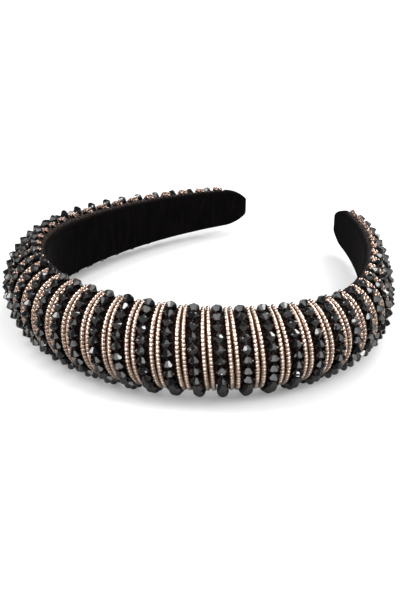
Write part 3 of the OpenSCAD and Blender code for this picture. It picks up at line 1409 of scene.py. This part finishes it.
@dataclass
class BeadThreads:
    """Threads through the crystals and the seed beads, which dive into the cover at both ends."""

    plan: RowPlan
    finish: BlackThread = field(default_factory=BlackThread)
    sides: int = 6
    crystal_thread: float = 0.4 * MM
    crystal_reach: float = 0.25 * MM
    seed_thread: float = 0.3 * MM
    seed_reach: float = 0.5 * MM
    seed_step: float = 3 * MM
    dive: float = 0.7 * MM
    depth: float = 0.1 * MM

    def tube(self, frames: Sequence[Matrix], diameter: float) -> BMesh:
        """Runs a thread of one thickness through a line of frames.

        Args:
            frames: The line.
            diameter: The thread's thickness.

        Returns:
            The thread's mesh.
        """
        turns = [2 * math.pi * k / self.sides for k in range(self.sides)]
        rim = [Vector((diameter / 2 * math.cos(a), diameter / 2 * math.sin(a), 0)) for a in turns]
        bm = bmesh.new()
        extrude_through(bm, [[f @ p for p in rim] for f in frames])
        return bm

    def frames(
        self, path: StringPath, reach: float, lift: float, gap: float, shift: float = 0.0
    ) -> list[Matrix]:
        """Lays a line of frames along a thread, with its two ends under the cover.

        Args:
            path: The string's path.
            reach: How far the thread runs past the path's ends.
            lift: Height of the string over the padding.
            gap: Distance between frames.
            shift: How far the string lies beside the path.

        Returns:
            The frames, from end to end.
        """
        aside = Matrix.Translation((0, shift, 0))
        start, end = path.first - reach, path.last + reach
        count = math.ceil((end - start) / gap)
        line = [path.frame(start + (end - start) * i / count) @ aside for i in range(count + 1)]
        down = [Matrix.Translation((-lift - self.depth, 0, step)) for step in (-self.dive, self.dive)]
        return [line[0] @ down[0], *line, line[-1] @ down[1]]

    def build(self, wardrobe: Wardrobe) -> Object:
        """Builds and dresses the threads.

        Args:
            wardrobe: Where their material is kept.

        Returns:
            The piece.
        """
        plan = self.plan
        bm = bmesh.new()
        for row in range(-plan.row_count, plan.row_count):
            path = plan.row(row)
            gap = path.length / (plan.stone_count(path) - 1) / 2
            line = self.frames(path, plan.crystal_l / 2 + self.crystal_reach, plan.crystal_lift, gap)
            pour(bm, self.tube(line, self.crystal_thread))
        for band in range(-plan.row_count, plan.row_count + 1):
            path = plan.band(band)
            for side in (-1, 1):
                shift = side * plan.band_half(band, path.section(path.first).x) / 2
                line = self.frames(path, self.seed_reach, plan.seed_lift, self.seed_step, shift)
                pour(bm, self.tube(line, self.seed_thread))
        return finish_piece(bm, "bead_threads", self.finish, wardrobe, ["crystal_threads"])


@dataclass
class EdgeStitches:
    """Whip stitches that join the cover to the lining along both edges."""

    form: HoopForm
    finish: BlackThread = field(default_factory=BlackThread)
    thread: float = 0.26 * MM
    height: float = 0.95 * MM
    flatness: float = 0.3
    pitch: float = 2.3 * MM
    end_gap: float = 1 * MM
    wander: float = 0.15 * MM
    below: float = 0.1 * MM
    outside: float = 0.02 * MM
    slant: float = math.radians(24)
    slant_spread: float = 0.1
    sides: int = 5
    steps: int = 5
    seed: int = 13

    def mesh(self) -> Mesh:
        """Spins one stitch: a flat arc of thread that leaves the cloth and enters it again.

        Returns:
            Its mesh.
        """
        bm = bmesh.new()
        bmesh.ops.create_circle(bm, cap_ends=True, segments=self.sides, radius=self.thread / 2)
        bmesh.ops.translate(bm, verts=bm.verts[:], vec=(self.height, 0, 0))
        bmesh.ops.spin(bm, geom=bm.verts[:] + bm.edges[:] + bm.faces[:], cent=(0, 0, 0), axis=(0, 1, 0),
                       angle=-math.pi, steps=self.steps, use_merge=False)
        bmesh.ops.scale(bm, verts=bm.verts[:], vec=(1, 1, self.flatness))
        smooth_skin(bm)
        return as_mesh(bm, "stitch")

    def build(self, wardrobe: Wardrobe) -> Object:
        """Builds and dresses the stitches.

        Args:
            wardrobe: Where their material is kept.

        Returns:
            The piece.
        """
        chance = random.Random(self.seed)
        stitch = self.mesh()
        reach = self.form.pad_end - self.end_gap
        count = round(2 * reach / self.pitch)
        rest = self.form.at_rest.to_3x3()
        spots = []
        for edge in (-1, 1):
            for i in range(count + 1):
                s = reach * (2 * i / count - 1) + chance.uniform(-self.wander, self.wander)
                spot = self.form.place(s, -self.below, edge * (self.form.width(s) / 2 + self.outside))
                out = rest @ self.form.outward(s)
                away = rest @ Vector((0, 0, edge))
                turn = Matrix((out, away.cross(out), away)).transposed().to_4x4()
                angle = self.slant + chance.uniform(-self.slant_spread, self.slant_spread)
                slant = Matrix.Rotation(angle, 4, "Z")
                spots.append(Spot(Matrix.Translation(spot) @ turn, slant, chance.random()))
        bm = string_beads(stitch, spots)
        bpy.data.meshes.remove(stitch)
        return finish_piece(bm, "edge_stitches", self.finish, wardrobe)


@dataclass(frozen=True)
class Softbox:
    """One soft studio light."""

    name: str
    place: Place
    width: float
    height: float
    watts: float
    aim: Place = (0.0, -0.01, 0.015)

    def build(self) -> None:
        """Hangs the light."""
        lamp = bpy.data.lights.new(self.name, "AREA")
        lamp.shape = "RECTANGLE"
        lamp.size, lamp.size_y = self.width, self.height
        lamp.energy = self.watts
        rig = bpy.data.objects.new(self.name, lamp)
        rig.location = self.place
        rig.rotation_euler = (Vector(self.aim) - Vector(self.place)).to_track_quat("-Z", "Y").to_euler()
        bpy.context.scene.collection.objects.link(rig)


@dataclass
class Studio:
    """Pale floor, soft lights and the camera at the photograph's angle."""

    camera_place: Place = (0.19795, -0.40032, 0.2197)
    camera_aim: Place = (0.00623, -0.02178, 0.015)
    lens: float = 71.55
    sensor: float = 36.0
    near_clip: float = 0.01
    floor_r: float = 1.4
    floor_tone: Colour = (0.68, 0.68, 0.68, 1)
    floor_reflected: Colour = (0.35, 0.337, 0.323, 1)
    floor_lift: float = 0.1
    world_tone: Colour = (0.95, 0.97, 1.0, 1)
    world_strength: float = 0.18
    world_seen: float = 1.1
    lights: tuple[Softbox, ...] = (
        Softbox("front_left_panel", (-0.07, -1.2, 0.7), 0.85, 1.3, 12.0),
        Softbox("front_right_panel", (0.97, -0.7, 0.7), 0.85, 1.3, 10.5),
        Softbox("overhead_panel", (0.45, 0.3, 0.92), 1.3, 1.1, 9.5),
        Softbox("left_panel", (-1.1, -0.35, 0.6), 0.6, 0.9, 1.6),
        Softbox("key_lamp", (-0.55, -0.45, 0.75), 0.36, 0.36, 4.5),
        Softbox("rim_lamp", (0.75, 0.05, 0.6), 0.3, 0.3, 3.0),
        Softbox("top_lamp", (-0.35, -0.12, 0.85), 0.24, 0.3, 2.6),
        Softbox("low_lamp", (0.42, -0.85, 0.16), 0.12, 0.12, 0.9),
        Softbox("back_lamp", (0.1, 0.75, 0.7), 0.3, 0.3, 3.0),
    )

    def build_floor(self) -> None:
        """Lays the floor under the headband, darker in reflections than to the eye."""
        bm = bmesh.new()
        bmesh.ops.create_circle(bm, cap_ends=True, segments=64, radius=self.floor_r)
        mesh = as_mesh(bm, "studio_floor")
        paper = bpy.data.materials.new("pale_paper")
        paper.use_nodes = True
        shader = Shader(paper.node_tree)
        seen = shader.add("ShaderNodeLightPath").outputs["Is Camera Ray"]
        tone = shader.mix(seen, self.floor_reflected, self.floor_tone)
        lift = shader.remap(Value=seen, To_Max=self.floor_lift)
        shader.surface(Base_Color=tone, Roughness=0.9, Specular_IOR_Level=0.1, Emission_Color=(1, 1, 1, 1),
                       Emission_Strength=lift)
        mesh.materials.append(paper)
        floor = bpy.data.objects.new("studio_floor", mesh)
        bpy.context.scene.collection.objects.link(floor)

    def build_light(self) -> None:
        """Sets the world's light, brighter to the eye than on the headband, and hangs the softboxes."""
        world = bpy.data.worlds.new("studio")
        world.use_nodes = True
        shader = Shader(world.node_tree)
        seen = shader.add("ShaderNodeLightPath").outputs["Is Camera Ray"]
        glow = shader.remap(Value=seen, To_Min=self.world_strength, To_Max=self.world_seen)
        sky = shader.feed(shader.add("ShaderNodeBackground"), Color=self.world_tone, Strength=glow)[0]
        shader.feed(shader.add("ShaderNodeOutputWorld"), Surface=sky)
        bpy.context.scene.world = world
        for light in self.lights:
            light.build()

    def build_camera(self) -> None:
        """Stands the camera where the photograph was taken from."""
        data = bpy.data.cameras.new("photo_camera")
        data.lens, data.sensor_width = self.lens, self.sensor
        data.clip_start = self.near_clip
        camera = bpy.data.objects.new("photo_camera", data)
        camera.location = self.camera_place
        look = Vector(self.camera_aim) - Vector(self.camera_place)
        camera.rotation_euler = look.to_track_quat("-Z", "Y").to_euler()
        bpy.context.scene.collection.objects.link(camera)
        bpy.context.scene.camera = camera

    def build(self) -> None:
        """Builds the whole studio."""
        self.build_camera()
        self.build_floor()
        self.build_light()
        bpy.context.scene.view_settings.view_transform = "Standard"


def main() -> None:
    """Builds the studio and every piece of the headband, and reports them."""
    logging.basicConfig(level=logging.INFO, format="%(name)s: %(message)s")
    Studio().build()
    form = HoopForm()
    plan = RowPlan(form)
    wardrobe = Wardrobe()
    cover = PaddedCover(form, plan).build(wardrobe)
    pieces = [cover, VelvetLining(form).build(wardrobe, cover)]
    pieces += CrystalRows(plan).build(wardrobe)
    pieces += GoldBands(plan).build(wardrobe)
    pieces += [BeadThreads(plan).build(wardrobe), EdgeStitches(form).build(wardrobe)]
    for piece in pieces:
        triangles = sum(len(face.vertices) - 2 for face in piece.data.polygons)
        LOG.info("%s: %d triangles", piece.name, triangles)


if __name__ == "__main__":
    main()
